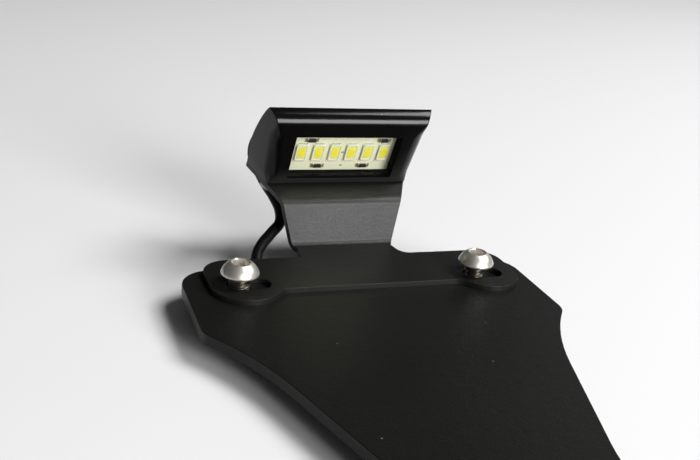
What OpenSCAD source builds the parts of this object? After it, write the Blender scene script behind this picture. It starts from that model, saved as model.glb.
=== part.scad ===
// Side mount licence plate holder with its plate lamp, lying on its back. All sizes are millimetres.
// X runs across the base plate, Y up the plate towards the lamp, and Z out of the plate's face.
// The origin is on the surface it lies on, under the middle of its length and width.
// Distances along Y are measured from the line through the two upper screws.

/* [Base plate] */
// Width of the base plate between its straight sides
plate_w = 98.8; // [96:0.2:130]
// Thickness of the base plate
plate_t = 3; // [2:0.5:5]
// Distance from the screw line to the top edge
plate_top = 13; // [12:0.5:16]
// Radius of the two top corners
plate_corner_r = 9; // [4:0.5:12]
// Distance from the screw line down to the shoulders
shoulder_drop = 19.5; // [12:0.5:30]
// Radius of the shoulder corners
shoulder_r = 6; // [3:0.5:10]
// Angle of the flank just below the shoulder, away from the plate's length
flank_top_angle = 38; // [30:1:45]
// Angle of the flank where it becomes straight, away from the plate's length
flank_low_angle = 17.5; // [14:0.5:22]
// Radius of the hollow flank below the shoulder
flank_r = 80; // [60:1:90]
// Width of the straight stem
stem_w = 44; // [40:1:50]
// Radius of the hollow that leads into the stem
stem_blend_r = 60; // [30:1:80]
// Distance from the screw line to the end of the stem
stem_drop = 135; // [125:1:160]
// Radius of the two corners at the end of the stem
foot_corner_r = 8; // [4:0.5:12]

/* [Holes and nuts] */
// Distance between the two upper screws
screw_spacing = 68.2; // [64:0.2:72]
// How far the pair of upper screws sits off the plate's centreline, to the left where negative
screw_shift = -1.4; // [-1.6:0.1:0]
// Diameter of the thread of the plate screws
screw_d = 5.9; // [5:0.1:6]
// Diameter of the clearance holes for those screws
screw_hole_d = 6.6; // [6.4:0.1:7]
// Distance between the two lower threaded holes
low_spacing = 28; // [26:1:30]
// Distance from the screw line down to the lower threaded holes
low_drop = 112; // [108:1:118]
// Width of a weld nut across its flats
nut_flats = 10; // [9:0.5:11]
// Height of a weld nut
nut_h = 5; // [4:0.5:6]
// Diameter of the threaded hole of a free nut
nut_thread_d = 5; // [4.6:0.1:5.2]
// Diameter of the two bolt holes in the foot
foot_hole_d = 8.4; // [6.4:0.2:9]
// Distance between the two foot holes
foot_spacing = 25; // [20:1:28]
// Distance from the end of the stem to the lower foot hole
foot_margin = 11; // [9:1:14]

/* [Plate screws] */
// Diameter of the domed head
head_d = 10; // [9.5:0.1:10.5]
// Height of the domed head
head_h = 3.3; // [2.8:0.1:3.6]
// Width of the hexagon socket across its flats
socket_flats = 4; // [3:0.5:5]
// Depth of the socket
socket_depth = 2.1; // [1.5:0.1:2.2]
// Length of the screw below its head
screw_len = 12; // [11.8:0.1:12.4]
// How far the heads stand off the bracket
head_gap = 3.2; // [2.8:0.1:3.4]

/* [Lamp bracket] */
// Thickness of the folded sheet
sheet_t = 1.5; // [1:0.1:2]
// Inside radius of the folds
fold_r = 1.5; // [1:0.1:2]
// How far the bracket is clamped to the right in its slots
bracket_shift = 1.3; // [0:0.1:1.3]
// Length of a slot, end to end
slot_len = 11.8; // [11.7:0.1:13]
// Width of a slot
slot_w = 6.5; // [6.3:0.1:7]
// Radius of an ear around its slot
ear_r = 9.5; // [9:0.1:10]
// How much farther out than its slot the middle of an ear sits
ear_out = 0.8; // [0:0.1:1.5]
// Radius of the upper outer corner of an ear
ear_corner_r = 7.5; // [5:0.1:8]
// Distance from the screw line up to the back edge of the flange
flange_back = 15.6; // [15:0.1:17]
// Distance from the screw line down to the straight front edge
flange_front = 3.6; // [3:0.1:5]
// Radius of the hollow between an ear and the front edge
ear_blend_r = 5; // [3:0.1:6]
// Radius of the hollow between the neck and the flange, on the right
neck_blend_r = 3.5; // [2:0.1:4]
// Radius of the same hollow on the left, where it is almost sharp
neck_blend_left_r = 0.8; // [0.5:0.1:4]
// Width of the neck where it meets the flange
neck_w = 30.2; // [29.8:0.1:30.6]
// Width of the riser at its foot
riser_low_w = 31; // [30:0.5:33]
// Width of the riser at its top
riser_top_w = 36.8; // [35:0.5:38]
// Width of the lamp panel at its back edge
panel_back_w = 51; // [49:0.5:53]
// Distance from the screw line to the foot of the riser
riser_y = 23.8; // [22:0.2:26]
// Length of the riser between its two folds
riser_len = 12.7; // [11:0.1:16]
// Slope of the riser
riser_angle = 76; // [70:1:82]
// Slope of the lamp panel
panel_angle = 23.3; // [16:0.1:26]
// Length of the lamp panel from its fold
panel_len = 17.2; // [17.2:0.1:20]

/* [Lamp] */
// Distance from the panel's fold to the front face of the housing
face_s = 7; // [6:0.1:7]
// Depth of the housing
housing_d = 10; // [10:0.1:10.2]
// Height of the housing
housing_h = 25.2; // [24:0.1:27]
// Width of the front face at its lower edge
face_w = 42.8; // [42:0.1:44]
// Angle of the flared ends, seen from above
end_flare = 22.3; // [18:0.1:24]
// Outward lean of the ends towards the top
end_lean = 2.7; // [0:0.1:4]
// Height of the straight part of the back
back_h = 13.2; // [11:0.1:15]
// Radius of the upper front edge
brow_r = 1.8; // [1:0.1:2.5]
// Width of the window
window_w = 32.2; // [31:0.1:33]
// Height of the window
window_h = 15.4; // [15:0.1:16]
// Height of the window's lower edge above the panel
window_low = 2.6; // [2.4:0.1:3]
// Thickness of the front wall, in front of the circuit board
wall_t = 3.6; // [3.4:0.1:3.8]
// Thickness of the clear lens
lens_t = 1.2; // [1:0.1:1.4]
// Depth of the lens below the front face
lens_depth = 0.8; // [0.4:0.1:1]
// Width of the circuit board
board_w = 36; // [35.5:0.1:36.5]
// Height of the circuit board
board_h = 18; // [17.5:0.1:18.5]
// Thickness of the circuit board
board_t = 1.2; // [1:0.1:1.4]
// Gap around pieces that slide into place
fit_gap = 0.1; // [0.05:0.05:0.15]

/* [Lights on the board] */
// Number of lights in the row
light_count = 6; // [3:1:6]
// Distance from one light to the next
light_pitch = 5.1; // [4:0.1:5.2]
// Width of a light
light_w = 3.4; // [2.8:0.1:3.6]
// Height of a light
light_h = 5.8; // [5:0.1:6]
// Thickness of a light
light_t = 0.9; // [0.6:0.1:1.1]
// How far the middle of the row lies to the right of the window's middle
row_shift = 0.4; // [0:0.1:1]
// Height of the row above the panel
row_n = 9.5; // [9:0.1:10]
// Width of a resistor
resistor_w = 2.8; // [2:0.1:3.2]
// Height of a resistor
resistor_h = 1.25; // [1:0.05:1.4]
// Thickness of a resistor
resistor_t = 0.5; // [0.4:0.05:0.6]

/* [Lamp screws and cable] */
// Distance between the two screws that hold the lamp on the panel
lamp_screw_spacing = 40.4; // [39.6:0.2:40.8]
// Diameter of the thread of the lamp screws
lamp_screw_d = 2.5; // [2:0.1:2.6]
// Diameter of their pan heads
lamp_head_d = 4.5; // [4:0.1:5]
// Length of their threads
lamp_screw_len = 8; // [6:0.5:10]
// Outer diameter of the cable
cable_d = 3.3; // [3:0.1:3.3]
// Outer diameter of the cable's grommet where it leaves the lamp
grommet_d = 6.4; // [5.8:0.1:7]
// Distance from the lamp's middle to the grommet
grommet_x = 15.4; // [15:0.1:16]
// Height of the grommet above the panel
grommet_n = 6; // [5.5:0.1:6.5]
// Thickness of the grommet's collar
grommet_t = 2.2; // [1.5:0.1:2.2]
// Middle diameter of the flat coil of spare cable
coil_d = 36; // [36:1:38]
// Number of turns that lie side by side in the coil
coil_turns = 3; // [3:1:3]

/* [Hidden] */
$fn = 48;

// Heights of the stacked sheets above the surface
plate_z = nut_h;
flange_z = plate_z + plate_t;
top_z = flange_z + sheet_t;

// Where the riser meets the lamp panel, and the screw line's place in the frame
fold_y = riser_y + riser_len * cos(riser_angle);
fold_z = top_z + riser_len * sin(riser_angle);
lamp_back = fold_y + panel_len * cos(panel_angle) + sheet_t * sin(panel_angle);
screw_line_y = (stem_drop - lamp_back) / 2;

// Where the cable runs: from the back of the lamp, down behind the riser and under the plate
cable_run = [[-14.6, 45.4, 36.1], [-15.9, 48.9, 36.4], [-18.1, 51.6, 34.8], [-20.5, 52, 31.6], [-22, 49.4, 28.4],
             [-21.9, 45.6, 25.5], [-20.8, 41.9, 22.3], [-18.7, 38.6, 19.2], [-16.7, 35.9, 16], [-16.5, 33.8, 12.7],
             [-18.6, 31.8, 10.4],
             [-21.4, 29.6, 8], [-23.2, 27.6, 5.4], [-23.8, 24.4, 3], [-23, 19, 1.9], [-20.5, 10, 1.75],
             [-17, -2, 1.75], [-11, -20, 1.75], [-5, -42, 1.75], [-2, -66, 1.75], [-1.5, -90, 1.75],
             [-4.5, -111, 1.75], [-10, -124, 1.75], [-16.2, -134, 1.75], [-21, -143, 1.75]];
// Where the two bare leads lie inside the coil, from its middle
lead_red_run = [[-10, -1, 1.75], [-9.4, -4.6, 1.4], [-6.6, -7.8, 0.9], [-2, -9.4, 0.9], [3, -8.8, 0.9],
                [7, -6, 0.9], [8.8, -2, 0.9]];
lead_black_run = [[-8.4, -0.9, 1.75], [-7.6, -3.8, 1.4], [-5, -6, 0.9], [-1.2, -6.8, 0.9], [2.6, -5.8, 0.9],
                  [5, -3, 0.9], [5.2, 0.6, 0.9]];
coil_y = -163;
lead_d = 1.5;
resistor_places = [[-9.9, 14], [12.4, 14], [-6.4, 4.3], [7.8, 4.3]];

// Points of an arc from one angle to another
function arc(c, r, from, to, steps = 8) =
  [for (i = [0:steps]) let (a = from + (to - from) * i / steps) [c.x + r * cos(a), c.y + r * sin(a)]];

// The same points on the other side of the centreline, in the opposite order
function mirrored(points) = [for (i = [len(points) - 1:-1:0]) [-points[i].x, points[i].y]];

// Right half of the base plate, from the top edge down to the end of the stem
shoulder_c = [plate_w / 2 - shoulder_r, -shoulder_drop];
flank_c = shoulder_c + (shoulder_r + flank_r) * [cos(flank_top_angle), -sin(flank_top_angle)];
flank_end = flank_c + flank_r * [-cos(flank_low_angle), sin(flank_low_angle)];
blend_w = stem_blend_r * (1 - cos(flank_low_angle));
blend_start_x = stem_w / 2 + blend_w;
blend_c = [stem_w / 2 + stem_blend_r,
           flank_end.y - (flank_end.x - blend_start_x) / tan(flank_low_angle)
           - stem_blend_r * sin(flank_low_angle)];
plate_half = concat(
  arc([plate_w / 2 - plate_corner_r, plate_top - plate_corner_r], plate_corner_r, 90, 0),
  arc(shoulder_c, shoulder_r, 0, -flank_top_angle, 5),
  arc(flank_c, flank_r, 180 - flank_top_angle, 180 - flank_low_angle, 8),
  arc(blend_c, stem_blend_r, 180 - flank_low_angle, 180, 5),
  arc([stem_w / 2 - foot_corner_r, foot_corner_r - stem_drop], foot_corner_r, 0, -90));

// How much wider the sheet gets for each millimetre along Y and along Z, on each side, from riser to panel
widen_riser = (riser_top_w - riser_low_w) / 2;
widen_panel = (panel_back_w - riser_top_w) / 2;
run_riser = riser_len * [cos(riser_angle), sin(riser_angle)];
run_panel = panel_len * [cos(panel_angle), sin(panel_angle)];
run_cross = run_riser.x * run_panel.y - run_panel.x * run_riser.y;
side_flare = (widen_riser * run_panel.y - widen_panel * run_riser.y) / run_cross;
side_lean = (widen_panel * run_riser.x - widen_riser * run_panel.x) / run_cross;

// One half of the bracket's flange, drawn on the right, from the front edge round the ear to the neck
ear_blend_dx = sqrt(pow(ear_r + ear_blend_r, 2) - pow(flange_front + ear_blend_r, 2));
ear_blend_angle = atan2(flange_front + ear_blend_r, ear_blend_dx);
slot_x = screw_spacing / 2;
ear_x = slot_x + ear_out;
ear_side = ear_x + ear_r;
riser_foot_y = riser_y - fold_r * tan(riser_angle / 2);
function flange_side(neck_r) = concat(
  arc([ear_x - ear_blend_dx, -flange_front - ear_blend_r], ear_blend_r, 90, ear_blend_angle, 5),
  arc([ear_x, 0], ear_r, 180 + ear_blend_angle, 360, 12),
  arc([ear_side - ear_corner_r, flange_back - ear_corner_r], ear_corner_r, 0, 90),
  arc([neck_w / 2 + neck_r, flange_back + neck_r], neck_r, 270, 180, 5),
  [[neck_w / 2 - 0.7, riser_foot_y - 0.3]]);

// Side profile of the lamp housing: distance back from the fold, height above the panel
back_s = face_s + housing_d;
dome_w = housing_d - 0.5;
housing_profile = concat(
  [[face_s, 0]],
  arc([face_s + brow_r, housing_h - brow_r], brow_r, 180, 95, 5),
  [for (a = [80:-10:0]) [back_s - dome_w + dome_w * cos(a), back_h + (housing_h - back_h) * sin(a)]],
  [[back_s, 0]]);
board_s = face_s + wall_t;
board_low = window_low + (window_h - board_h) / 2;
wire_room_s = board_s + board_t + 2 * fit_gap;
wire_room_d = back_s - 1.8 - wire_room_s;

// Places its children on the centreline, with Y measured from the screw line
module on_screw_line() {
  translate([0, screw_line_y, 0]) children();
}

// Places its children on the bracket's centreline
module on_bracket() {
  on_screw_line() translate([bracket_shift, 0, 0]) children();
}

// Places its children on the lamp panel: X across, Y back along the panel from its fold, Z off the panel
module on_panel() {
  on_bracket() translate([0, fold_y, fold_z]) rotate([panel_angle, 0, 0]) children();
}

// A slot through the flange
module slot() {
  run = slot_len - slot_w;
  translate([0, 0, flange_z - 1]) {
    for (side = [-1, 1]) translate([side * run / 2, 0, 0]) cylinder(d = slot_w, h = sheet_t + 2);
    translate([-run / 2, -slot_w / 2, 0]) cube([run, slot_w, sheet_t + 2]);
  }
}

module base_plate() {
  color([0.08, 0.08, 0.09]) on_screw_line() difference() {
    translate([0, 0, plate_z]) linear_extrude(plate_t) polygon(concat(plate_half, mirrored(plate_half)));
    for (side = [-1, 1]) {
      translate([screw_shift + side * screw_spacing / 2, 0, plate_z - 1]) cylinder(d = screw_hole_d, h = plate_t + 2);
      translate([side * low_spacing / 2, -low_drop, plate_z - 1]) cylinder(d = screw_hole_d, h = plate_t + 2);
    }
    for (i = [0:1]) translate([0, foot_margin + i * foot_spacing - stem_drop, plate_z - 1])
      cylinder(d = foot_hole_d, h = plate_t + 2);
  }
}

// Arc of a fold in the side profile, from one slope to another, at a radius about its centre
function fold_arc(c, r, from, to) =
  [for (i = [0:fold_steps]) let (a = from + (to - from) * i / fold_steps) c + r * [sin(a), -cos(a)]];

// Side profile of the sheet behind the flange, as [Y, Z]: neck, fold, riser, fold and lamp panel
fold_steps = 6;
high_cut = (fold_r + sheet_t) * tan((riser_angle - panel_angle) / 2);
low_c = [riser_foot_y, top_z + fold_r];
high_c = [fold_y, fold_z] - high_cut * [cos(riser_angle), sin(riser_angle)]
         + (fold_r + sheet_t) * [sin(riser_angle), -cos(riser_angle)];
panel_end = [fold_y, fold_z] + panel_len * [cos(panel_angle), sin(panel_angle)];
neck_overlap = 1.6;
sheet_profile = concat(
  [[riser_foot_y - neck_overlap, top_z]],
  fold_arc(low_c, fold_r, 0, riser_angle),
  fold_arc(high_c, -fold_r - sheet_t, riser_angle, panel_angle),
  [panel_end, panel_end + sheet_t * [sin(panel_angle), -cos(panel_angle)]],
  fold_arc(high_c, -fold_r, panel_angle, riser_angle),
  fold_arc(low_c, fold_r + sheet_t, riser_angle, 0),
  [[riser_foot_y - neck_overlap, flange_z]]);

// What stands outside one side edge of the riser and the lamp panel
module side_cut(side) {
  translate([side * riser_low_w / 2, riser_y, top_z]) rotate([0, 0, -side * atan(side_flare)])
    rotate([0, side * atan(side_lean * cos(atan(side_flare))), 0])
      translate([side > 0 ? 0 : -30, -20, -20]) cube([30, 60, 60]);
}

module light_bracket() {
  color([0.1, 0.1, 0.11]) on_bracket() {
    difference() {
      translate([0, 0, flange_z]) linear_extrude(sheet_t) polygon(
        concat(flange_side(neck_blend_r), mirrored(flange_side(neck_blend_left_r))));
      for (side = [-1, 1]) translate([side * slot_x, 0, 0]) slot();
    }
    difference() {
      rotate([90, 0, 90]) translate([0, 0, -panel_back_w / 2 - 1]) linear_extrude(panel_back_w + 2)
        polygon(sheet_profile);
      for (side = [-1, 1]) {
        side_cut(side);
        translate([0, fold_y, fold_z]) rotate([panel_angle, 0, 0])
          translate([side * lamp_screw_spacing / 2, lamp_screw_s, -sheet_t - 1])
            cylinder(d = lamp_screw_d + 0.4, h = sheet_t + 2);
      }
    }
  }
}

// Distance of the lamp screws from the panel's fold: halfway through the housing's front wall
lamp_screw_s = face_s + wall_t / 2 + 0.9;

// What stands outside one flared end of the housing
module end_cut(side) {
  translate([side * face_w / 2, face_s, 0]) rotate([0, 0, -side * end_flare])
    rotate([0, side * end_lean, 0]) translate([side > 0 ? 0 : -40, -20, -10]) cube([40, 60, housing_h + 30]);
}

module lamp_housing() {
  color([0.03, 0.03, 0.03]) on_panel() difference() {
    rotate([90, 0, 90]) translate([0, 0, -housing_span / 2]) linear_extrude(housing_span)
      polygon(housing_profile);
    for (side = [-1, 1]) end_cut(side);
    // Window, then the slot that the board slides up into, then the room for its wires
    translate([-window_w / 2, face_s - 1, window_low]) cube([window_w, wall_t + 1.5, window_h]);
    translate([-board_w / 2 - fit_gap, board_s, -1])
      cube([board_w + 2 * fit_gap, board_t + 2 * fit_gap, board_low + board_h + fit_gap + 1]);
    translate([-window_w / 2, wire_room_s - 0.5, -1]) cube([window_w, wire_room_d + 0.5, back_h]);
    translate([-grommet_x, back_s - 4, grommet_n]) rotate([-90, 0, 0])
      cylinder(d = cable_d + 1.4 + 2 * fit_gap, h = 6);
    for (side = [-1, 1]) translate([side * lamp_screw_spacing / 2, lamp_screw_s, -1])
      cylinder(d = lamp_screw_d + 0.1, h = lamp_screw_len + 1);
  }
}

// Width of the block that the housing's flared ends are cut from
housing_span = panel_back_w + 6;

module lamp_lens() {
  color([0.85, 0.9, 0.92, 0.35]) on_panel()
    translate([fit_gap - window_w / 2, face_s + lens_depth, window_low + fit_gap])
      cube([window_w - 2 * fit_gap, lens_t, window_h - 2 * fit_gap]);
}

module led_board() {
  color([0.93, 0.91, 0.82]) on_panel() translate([-board_w / 2, board_s + fit_gap, board_low])
    cube([board_w, board_t, board_h]);
}

// One light of the row, counted from the left
module light(number) {
  x = row_shift + (number - (light_count + 1) / 2) * light_pitch;
  color([0.98, 0.93, 0.55]) on_panel()
    translate([x - light_w / 2, board_s + fit_gap - light_t, row_n - light_h / 2])
      cube([light_w, light_t, light_h]);
}

// One resistor of the board, counted from the upper left
module resistor(number) {
  place = resistor_places[number - 1];
  color([0.15, 0.15, 0.15]) on_panel()
    translate([place.x - resistor_w / 2, board_s + fit_gap - resistor_t, place.y - resistor_h / 2])
      cube([resistor_w, resistor_t, resistor_h]);
}

// A pan head screw from below the panel into the housing's front wall
module lamp_screw(side) {
  color([0.55, 0.55, 0.56]) on_panel() translate([side * lamp_screw_spacing / 2, lamp_screw_s, -sheet_t]) {
    cylinder(d = lamp_screw_d, h = lamp_screw_len - 0.5 + sheet_t);
    difference() {
      rotate([180, 0, 0]) rotate_extrude() polygon(concat([[0, 0], [lamp_head_d / 2, 0]],
        [for (a = [0:15:90]) [lamp_head_d / 2 * pow(cos(a), 0.5), 0.8 + 0.9 * sin(a)]]));
      for (turn = [0, 90]) rotate([0, 0, turn]) translate([-1.3, -0.3, -2]) cube([2.6, 0.6, 1.2]);
    }
  }
}

// A domed socket screw that stands up out of the plate
module plate_screw(side) {
  rim = 0.5;
  flat = 2.7;
  // The dome is a cap of a sphere through the rim and the edge of the flat top
  low = (flat * flat + head_h * head_h - head_d * head_d / 4 - rim * rim) / (2 * (head_h - rim));
  round_r = sqrt(flat * flat + pow(head_h - low, 2));
  color([0.78, 0.76, 0.72]) on_screw_line() translate([screw_shift + side * screw_spacing / 2, 0, top_z + head_gap]) {
    difference() {
      rotate_extrude($fn = 64) polygon(concat([[0, 0], [head_d / 2 - 0.1, 0]],
        [for (i = [0:9]) let (z = rim + (head_h - rim) * i / 9) [sqrt(round_r * round_r - pow(z - low, 2)), z]],
        [[0, head_h]]));
      translate([0, 0, head_h - socket_depth])
        cylinder(d = socket_flats / cos(30), h = socket_depth + 1, $fn = 6);
    }
    translate([0, 0, -screw_len]) cylinder(d = screw_d, h = screw_len);
  }
}

// A hexagon weld nut on the back of the plate
module weld_nut(x, y, bore_d) {
  color([0.1, 0.1, 0.11]) on_screw_line() translate([x, y, 0]) difference() {
    cylinder(d = nut_flats / cos(30), h = nut_h, $fn = 6);
    translate([0, 0, -1]) cylinder(d = bore_d, h = nut_h + 2);
  }
}

// The grommet in the back of the lamp: a collar outside and a sleeve through the wall
module cable_grommet() {
  color([0.05, 0.05, 0.05]) on_panel() translate([-grommet_x, back_s, grommet_n]) rotate([-90, 0, 0]) {
    difference() {
      union() {
        cylinder(d1 = grommet_d, d2 = cable_d + 1.6, h = grommet_t);
        translate([0, 0, -2.5]) cylinder(d = cable_d + 1.4, h = 2.6);
      }
      translate([0, 0, -3]) cylinder(d = cable_d + 2 * fit_gap, h = 6);
    }
  }
}

// A closed tube swept along points with a ring of vertices at each of them
function unit(v) = v / norm(v);
function tangent(run, i) = unit(run[min(i + 1, len(run) - 1)] - run[max(i - 1, 0)]);
function ring(run, i, r, sides) =
  let (t = tangent(run, i), a = unit(cross(t, [0.13, 0.21, 0.97])), b = cross(t, a))
    [for (k = [0:sides - 1]) run[i] + r * cos(360 * k / sides) * a + r * sin(360 * k / sides) * b];
module tube(run, d, sides = 8) {
  last = len(run) - 1;
  polyhedron(
    [for (i = [0:last]) for (p = ring(run, i, d / 2, sides)) p],
    concat([[for (k = [0:sides - 1]) k]],
      [for (i = [0:last - 1]) for (k = [0:sides - 1])
        let (n = (k + 1) % sides, at = i * sides) [at + k, at + sides + k, at + sides + n, at + n]],
      [[for (k = [sides - 1:-1:0]) last * sides + k]]));
}

// Points on a smooth curve through a run's own points
function smooth_point(p0, p1, p2, p3, t) =
  0.5 * (2 * p1 + (p2 - p0) * t + (2 * p0 - 5 * p1 + 4 * p2 - p3) * t * t
         + (3 * p1 - p0 - 3 * p2 + p3) * t * t * t);
function smooth(run, steps) =
  let (last = len(run) - 1)
    concat([for (i = [0:last - 1]) for (k = [0:steps - 1])
      smooth_point(run[max(i - 1, 0)], run[i], run[i + 1], run[min(i + 2, last)], k / steps)],
      [run[last]]);

module lamp_cable() {
  color([0.05, 0.05, 0.05]) on_screw_line() tube(smooth(concat([cable_exit], cable_run, [coil_entry]), 3), cable_d);
}

// Middle of the cable at the grommet's mouth, and where it meets the coil
exit_s = back_s + grommet_t;
cable_exit = [bracket_shift - grommet_x,
              fold_y + exit_s * cos(panel_angle) - grommet_n * sin(panel_angle),
              fold_z + exit_s * sin(panel_angle) + grommet_n * cos(panel_angle)];
coil_pitch = cable_d + 0.1;
coil_reach = (coil_turns * coil_pitch + cable_d) / 2;
coil_entry = [-(coil_d + coil_turns * coil_pitch) / 2, coil_y + 12.9, cable_d / 2 + 0.1];

module cable_coil() {
  color([0.05, 0.05, 0.05]) on_screw_line() translate([0, coil_y, 0]) rotate_extrude($fn = 48)
    translate([coil_d / 2 - coil_reach, 0.1]) square([2 * coil_reach, cable_d]);
}

module lead(run, paint) {
  color(paint) on_screw_line() translate([0, coil_y, 0]) tube(smooth(run, 2), lead_d);
}

base_plate();
light_bracket();
lamp_housing();
lamp_lens();
led_board();
for (i = [1:light_count]) light(i);
for (i = [1:4]) resistor(i);
lamp_screw(-1);  // lamp_screw_left
lamp_screw(1);  // lamp_screw_right
plate_screw(-1);  // plate_screw_left
plate_screw(1);  // plate_screw_right
weld_nut(screw_shift - screw_spacing / 2, 0, screw_d + 0.2);  // weld_nut_upper_left
weld_nut(screw_shift + screw_spacing / 2, 0, screw_d + 0.2);  // weld_nut_upper_right
weld_nut(-low_spacing / 2, -low_drop, nut_thread_d);  // weld_nut_lower_left
weld_nut(low_spacing / 2, -low_drop, nut_thread_d);  // weld_nut_lower_right
cable_grommet();
lamp_cable();
cable_coil();
lead(lead_red_run, [0.6, 0.05, 0.05]);  // lead_red
lead(lead_black_run, [0.05, 0.05, 0.05]);  // lead_black
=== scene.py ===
"""Dresses a side mount license plate holder with its plate lamp, lying on its back on a pale floor."""
import logging
import math
from dataclasses import dataclass
from enum import Enum
from typing import Callable, Iterable, Sequence

import bmesh
import bpy
import numpy as np
from mathutils import Matrix, Vector


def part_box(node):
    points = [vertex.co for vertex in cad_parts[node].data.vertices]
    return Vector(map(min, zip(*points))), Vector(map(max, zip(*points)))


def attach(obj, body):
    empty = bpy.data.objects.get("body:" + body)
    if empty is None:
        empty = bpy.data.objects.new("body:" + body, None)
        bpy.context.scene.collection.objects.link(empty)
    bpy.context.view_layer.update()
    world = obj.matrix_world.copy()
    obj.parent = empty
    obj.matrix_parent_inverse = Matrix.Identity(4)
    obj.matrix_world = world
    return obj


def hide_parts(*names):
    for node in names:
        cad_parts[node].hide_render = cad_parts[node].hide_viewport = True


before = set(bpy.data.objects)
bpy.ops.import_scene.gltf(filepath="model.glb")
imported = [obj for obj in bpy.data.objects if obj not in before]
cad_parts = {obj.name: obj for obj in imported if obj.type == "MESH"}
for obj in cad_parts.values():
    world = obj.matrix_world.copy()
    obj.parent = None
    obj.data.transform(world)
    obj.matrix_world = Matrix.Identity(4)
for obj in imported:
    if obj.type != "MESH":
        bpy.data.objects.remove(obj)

log = logging.getLogger("plate_holder")
MM = 0.001
BODY = "root"
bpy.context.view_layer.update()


class Side(Enum):
    """Which side of the centreline a piece is on."""

    LEFT = "left"
    RIGHT = "right"


# Frame lookups


def centre_of(node: str) -> Vector:
    """Middle of a CAD node's box, in metres."""
    low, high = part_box(node)
    return (Vector(low) + Vector(high)) / 2


SCREW_LINE_Y = centre_of("plate_screw_left").y
# The grommet's root and the way from there to its mouth, in millimetres in the panel's axes
GROMMET_AT = np.array([-15.4, 17.0, 6.0])
GROMMET_REACH = np.array([0.0, 2.2, 0.0])


@dataclass(frozen=True)
class PanelFrame:
    """The tilted lamp panel's own axes: across, back along the panel from its fold, and off the panel."""

    shift: float = 1.3 * MM
    fold_y: float = 26.872 * MM
    fold_z: float = 21.823 * MM
    slope: float = math.radians(23.3)

    @property
    def matrix(self) -> Matrix:
        """What turns a point of the panel's axes into the frame's."""
        place = Matrix.Translation((self.shift, SCREW_LINE_Y + self.fold_y, self.fold_z))
        return place @ Matrix.Rotation(self.slope, 4, "X")

    def bring(self, points: np.ndarray) -> np.ndarray:
        """Moves points from the frame to the panel's axes."""
        m = np.array(self.matrix)
        return (points - m[:3, 3]) @ m[:3, :3]

    def carry(self, points: np.ndarray) -> np.ndarray:
        """Moves points, whose last axis is X, way back and height in metres, to the frame."""
        m = np.array(self.matrix)
        return points @ m[:3, :3].T + m[:3, 3]


PANEL = PanelFrame()


# Shader maths


def operator(operation: str, turned: bool = False) -> Callable[["Term", "Term | float"], "Term"]:
    """A Python operator that adds one Math node, with its two values turned round if asked."""
    def method(self: "Term", other: "Term | float") -> "Term":
        """Adds the node."""
        values = (other, self) if turned else (self, other)
        return self.board.add("ShaderNodeMath", {"operation": operation}, dict(enumerate(values)))
    return method


class Term:
    """A shader socket that adds Math nodes when Python operators are used on it."""

    __add__ = __radd__ = operator("ADD")
    __sub__ = operator("SUBTRACT")
    __rsub__ = operator("SUBTRACT", turned=True)
    __mul__ = __rmul__ = operator("MULTIPLY")
    __truediv__ = operator("DIVIDE")
    __lt__ = operator("LESS_THAN")

    def __init__(self, board: "Board", socket: bpy.types.NodeSocket) -> None:
        """Wraps an output socket of a board."""
        self.board = board
        self.socket = socket

    def smooth(self, low: float, high: float) -> "Term":
        """A soft step from 0 at low to 1 at high."""
        return self.board.add("ShaderNodeMapRange", {"interpolation_type": "SMOOTHSTEP"},
                              {"Value": self, "From Min": low, "From Max": high})


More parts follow.
